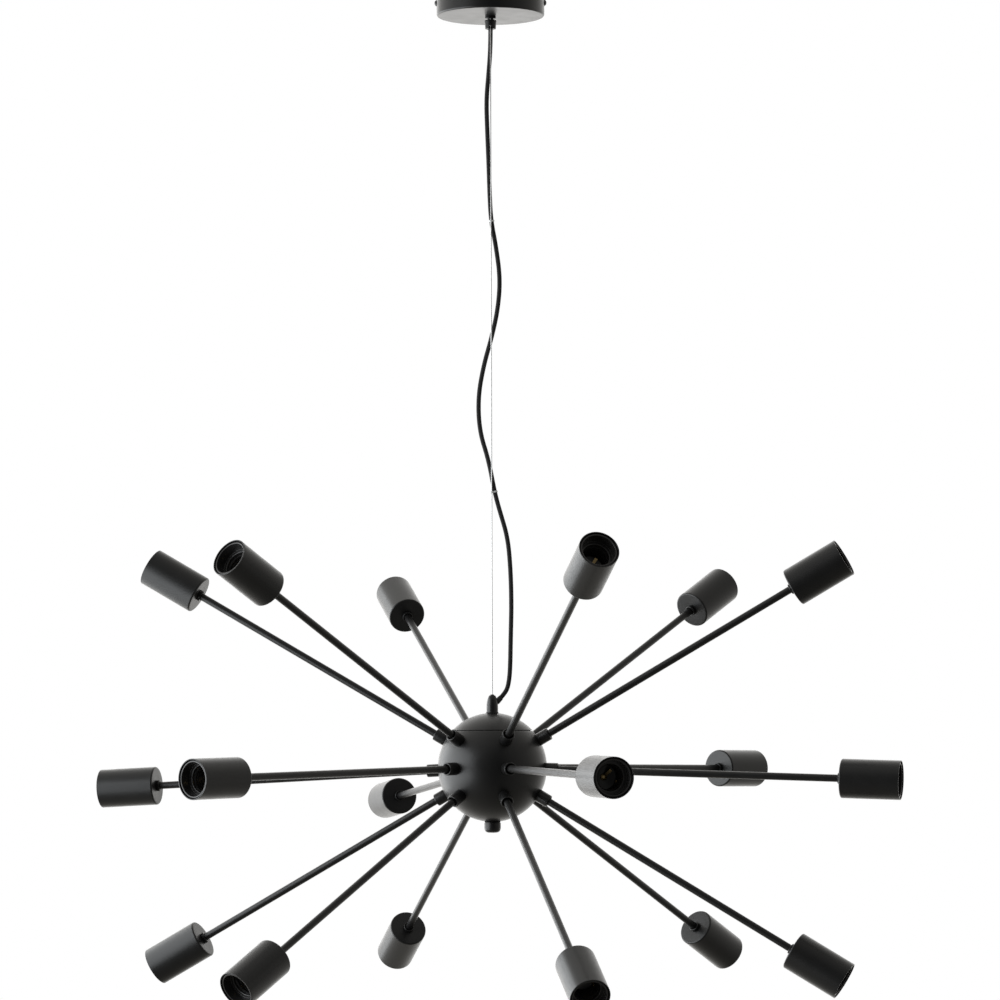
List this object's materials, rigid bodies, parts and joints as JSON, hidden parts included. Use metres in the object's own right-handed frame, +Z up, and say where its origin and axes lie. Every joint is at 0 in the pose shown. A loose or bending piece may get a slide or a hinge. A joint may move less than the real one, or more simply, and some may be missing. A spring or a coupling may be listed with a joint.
{
  "type": "sputnik chandelier",
  "caption": "Matt black sputnik pendant: ceiling cup, wire with slack cord beside it, hollow ball and straight arms in rows, each with a cylindrical lamp cup open at its outer end.",
  "frame": {"origin": "centre of the canopy in the ceiling plane", "axes": "+Z up, out of the ceiling face; +X to the viewer's right, along the bracket strap; +Y away from the viewer; everything hangs towards -Z"},
  "size_m": [0.8916, 0.8779, 1.1108],
  "materials": {
    "black_paint": "matt black powder coat",
    "black_screws": "satin black",
    "zinc_steel": "zinc plated",
    "wire_steel": "bright drawn",
    "black_textile": "braided sleeve",
    "sleeve_rubber": "matt",
    "clear_plastic": "milky clear",
    "white_plastic": "moulded",
    "terminal_brass": "plain",
    "lead_sheath": "smooth",
    "black_plastic": "moulded, slightly shiny",
    "contact_brass": "plain"
  },
  "bodies": {
    "canopy": {"canopy_cup": "black_paint", "canopy_side_screws": "black_screws", "ceiling_bracket": "zinc_steel", "wire_anchor": "zinc_steel", "anchor_screw": "zinc_steel", "earth_screw": "zinc_steel", "terminal_block": "white_plastic", "terminal_screws": "terminal_brass", "cord_grip": "black_paint", "grip_ring": "black_paint", "grip_nut": "zinc_steel", "wire_top_run": "wire_steel", "cord_inner_run": "black_textile"},
    "swivel": {"wire_swivel_ball": "wire_steel"},
    "suspension": {"suspension_wire": "wire_steel", "power_cord": "black_textile", "cord_clips": "clear_plastic"},
    "hub": {"hub_shell": "black_paint", "hub_cap": "black_paint", "hub_collars": "black_paint", "hub_nuts": "zinc_steel", "central_rod": "zinc_steel", "rod_nuts": "zinc_steel", "finial": "black_paint", "finial_washer": "black_paint", "gripper_body": "black_paint", "gripper_spring": "wire_steel", "cord_sleeve": "sleeve_rubber", "hub_lead": "black_textile", "splice_block": "white_plastic", "arm_leads": "lead_sheath", "arms_upper": "black_paint", "arms_middle": "black_paint", "arms_lower": "black_paint", "cup_upper_1": "black_paint", "cup_upper_2": "black_paint", "cup_upper_3": "black_paint", "cup_upper_4": "black_paint", "cup_upper_5": "black_paint", "cup_upper_6": "black_paint", "cup_middle_1": "black_paint", "cup_middle_2": "black_paint", "cup_middle_3": "black_paint", "cup_middle_4": "black_paint", "cup_middle_5": "black_paint", "cup_middle_6": "black_paint", "cup_lower_1": "black_paint", "cup_lower_2": "black_paint", "cup_lower_3": "black_paint", "cup_lower_4": "black_paint", "cup_lower_5": "black_paint", "cup_lower_6": "black_paint", "cup_collars": "black_paint", "holder_caps": "black_plastic", "lampholders": "black_plastic", "screw_shells": "black_plastic", "centre_contacts": "contact_brass"},
    "release": {"gripper_plunger": "black_paint", "gripper_balls": "wire_steel"}
  },
  "joints": [
    {"name": "swing_front_back", "type": "hinge", "parent": "canopy", "child": "swivel", "pos_m": [0, -0.0042, -0.036], "axis": [1, 0, 0], "range_deg": [-8, 8], "deforming": ["power_cord"]},
    {"name": "swing_left_right", "type": "hinge", "parent": "swivel", "child": "suspension", "pos_m": [0, -0.0042, -0.036], "axis": [0, 1, 0], "range_deg": [-8, 8], "deforming": ["power_cord"]},
    {"name": "hub_turn", "type": "hinge", "parent": "suspension", "child": "hub", "pos_m": [0, -0.0042, -0.785], "axis": [0, 0, 1], "range_deg": [-90, 90], "deforming": ["power_cord"]},
    {"name": "release_press", "type": "slide", "parent": "hub", "child": "release", "axis": [0, 0, 1], "range_m": [-0.0015, 0], "stiffness_N_per_m": 400, "springref_m": 0.002, "deforming": ["gripper_spring"]}
  ]
}
